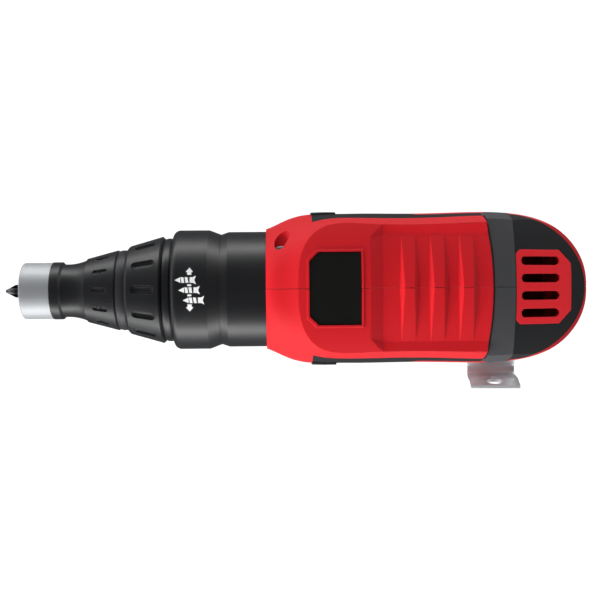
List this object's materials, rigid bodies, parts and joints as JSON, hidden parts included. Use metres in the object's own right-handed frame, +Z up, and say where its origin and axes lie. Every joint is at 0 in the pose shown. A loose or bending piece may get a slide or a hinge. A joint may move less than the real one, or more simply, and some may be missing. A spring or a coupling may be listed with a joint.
{
  "type": "drywall screwdriver",
  "caption": "Cordless drywall screwdriver with a depth-stop nose cone, barrel housing, pistol grip, belt hook and slide-on battery; drives screws to a set depth.",
  "frame": {"origin": "centre of the battery's flat bottom face, on which the tool stands", "axes": "nose and bit point along -X, +Y is the tool's right-hand side with the spare hook insert (the belt hook is on -Y), +Z is up"},
  "size_m": [0.2764, 0.0997, 0.2394],
  "materials": {
    "red_plastic": "fine moulded grain",
    "black_plastic": "fine moulded grain",
    "grey_plastic": "satin",
    "soft_rubber": "matt soft grip",
    "bright_steel": "turned",
    "zinc_steel": "zinc plated",
    "dark_steel": "blackened",
    "laminated_steel": "stacked sheet",
    "magnet": "nickel plated",
    "die_cast": "as cast",
    "bronze": "sintered",
    "copper": "enamelled wire",
    "badge": "smooth",
    "circuit_board": "lacquered",
    "cell_wrap": "wrapped can"
  },
  "bodies": {
    "tool": {"ring_seal": "soft_rubber", "detent_balls": "bright_steel", "detent_springs": "zinc_steel", "nose_collar": "black_plastic", "gear_case": "black_plastic", "gear_case_screws": "zinc_steel", "bearing_plate": "die_cast", "tie_screws": "zinc_steel", "spindle_bush": "bronze", "gear_bearing": "bright_steel", "front_bearing": "bright_steel", "rear_bearing": "bright_steel", "stator_core": "laminated_steel", "stator_insulators": "black_plastic", "stator_windings": "copper", "sensor_board": "circuit_board", "badge_plate": "badge", "vent_grille": "red_plastic", "housing_screws": "zinc_steel", "belt_hook": "zinc_steel", "hook_screw": "zinc_steel", "hook_inserts": "bronze", "trigger_spring": "zinc_steel", "switch_module": "black_plastic", "controller": "black_plastic", "terminal_block": "black_plastic", "soft_cover_right": "soft_rubber", "soft_cover_left": "soft_rubber", "grip_cover_right": "soft_rubber", "grip_cover_left": "soft_rubber", "housing_right": "red_plastic", "housing_left": "red_plastic"},
    "rotor": {"motor_shaft": "dark_steel", "rotor_core": "laminated_steel", "rotor_magnets": "magnet", "cooling_fan": "black_plastic"},
    "gear": {"clutch_gear": "dark_steel", "clutch_spring": "zinc_steel"},
    "spindle": {"spindle": "dark_steel", "bit_holder": "bright_steel", "holder_magnet": "magnet", "screw_bit": "dark_steel"},
    "depth_ring": {"depth_ring": "black_plastic"},
    "depth_carrier": {"depth_carrier": "grey_plastic"},
    "depth_stop": {"depth_stop": "black_plastic", "nose_tip": "bright_steel"},
    "trigger": {"trigger": "black_plastic"},
    "direction_button": {"direction_button": "black_plastic"},
    "lock_button": {"lock_button": "black_plastic"},
    "battery": {"battery_case": "black_plastic", "battery_lid": "black_plastic", "battery_cells": "cell_wrap", "battery_board": "circuit_board", "battery_contacts": "copper", "battery_screws": "zinc_steel", "latch_spring_right": "zinc_steel", "latch_spring_left": "zinc_steel"},
    "latch_right": {"latch_right": "red_plastic"},
    "latch_left": {"latch_left": "red_plastic"}
  },
  "joints": [
    {"name": "rotor_spin", "type": "hinge", "parent": "tool", "child": "rotor", "pos_m": [-0.05, 0, 0.1882], "axis": [1, 0, 0], "continuous": true},
    {"name": "gear_spin", "type": "hinge", "parent": "tool", "child": "gear", "pos_m": [-0.095, 0, 0.205], "axis": [1, 0, 0], "continuous": true},
    {"name": "spindle_push", "type": "slide", "parent": "gear", "child": "spindle", "axis": [1, 0, 0], "range_m": [0, 0.0035], "stiffness_N_per_m": 2000, "springref_m": -0.003, "deforming": ["clutch_spring"]},
    {"name": "depth_ring_turn", "type": "hinge", "parent": "tool", "child": "depth_ring", "pos_m": [-0.147, 0, 0.205], "axis": [1, 0, 0], "range_deg": [-360, 360]},
    {"name": "depth_travel", "type": "slide", "parent": "tool", "child": "depth_carrier", "axis": [1, 0, 0], "range_m": [-0.003, 0.003]},
    {"name": "depth_stop_pull", "type": "slide", "parent": "depth_carrier", "child": "depth_stop", "axis": [-1, 0, 0], "range_m": [0, 0.045]},
    {"name": "trigger_pull", "type": "slide", "parent": "tool", "child": "trigger", "axis": [1, 0, 0], "range_m": [0, 0.0065], "stiffness_N_per_m": 800, "springref_m": -0.004, "deforming": ["trigger_spring"]},
    {"name": "direction_slide", "type": "slide", "parent": "tool", "child": "direction_button", "axis": [0, 1, 0], "range_m": [-0.0025, 0.0025]},
    {"name": "lock_press", "type": "slide", "parent": "tool", "child": "lock_button", "axis": [0, 1, 0], "range_m": [0, 0.0022], "stiffness_N_per_m": 400, "springref_m": -0.002},
    {"name": "battery_slide", "type": "slide", "parent": "tool", "child": "battery", "axis": [-1, 0, 0], "range_m": [0, 0.08]},
    {"name": "latch_right_press", "type": "slide", "parent": "battery", "child": "latch_right", "axis": [0, -1, 0], "range_m": [0, 0.0022], "stiffness_N_per_m": 500, "springref_m": -0.002, "deforming": ["latch_spring_right"]},
    {"name": "latch_left_press", "type": "slide", "parent": "battery", "child": "latch_left", "axis": [0, 1, 0], "range_m": [0, 0.0022], "stiffness_N_per_m": 500, "springref_m": -0.002, "deforming": ["latch_spring_left"]}
  ],
  "couplings": [
    {"joint": "gear_spin", "follows": "rotor_spin", "ratio": -0.24444},
    {"joint": "depth_ring_turn", "follows": "depth_travel", "rad_per_m": 2094.4}
  ]
}
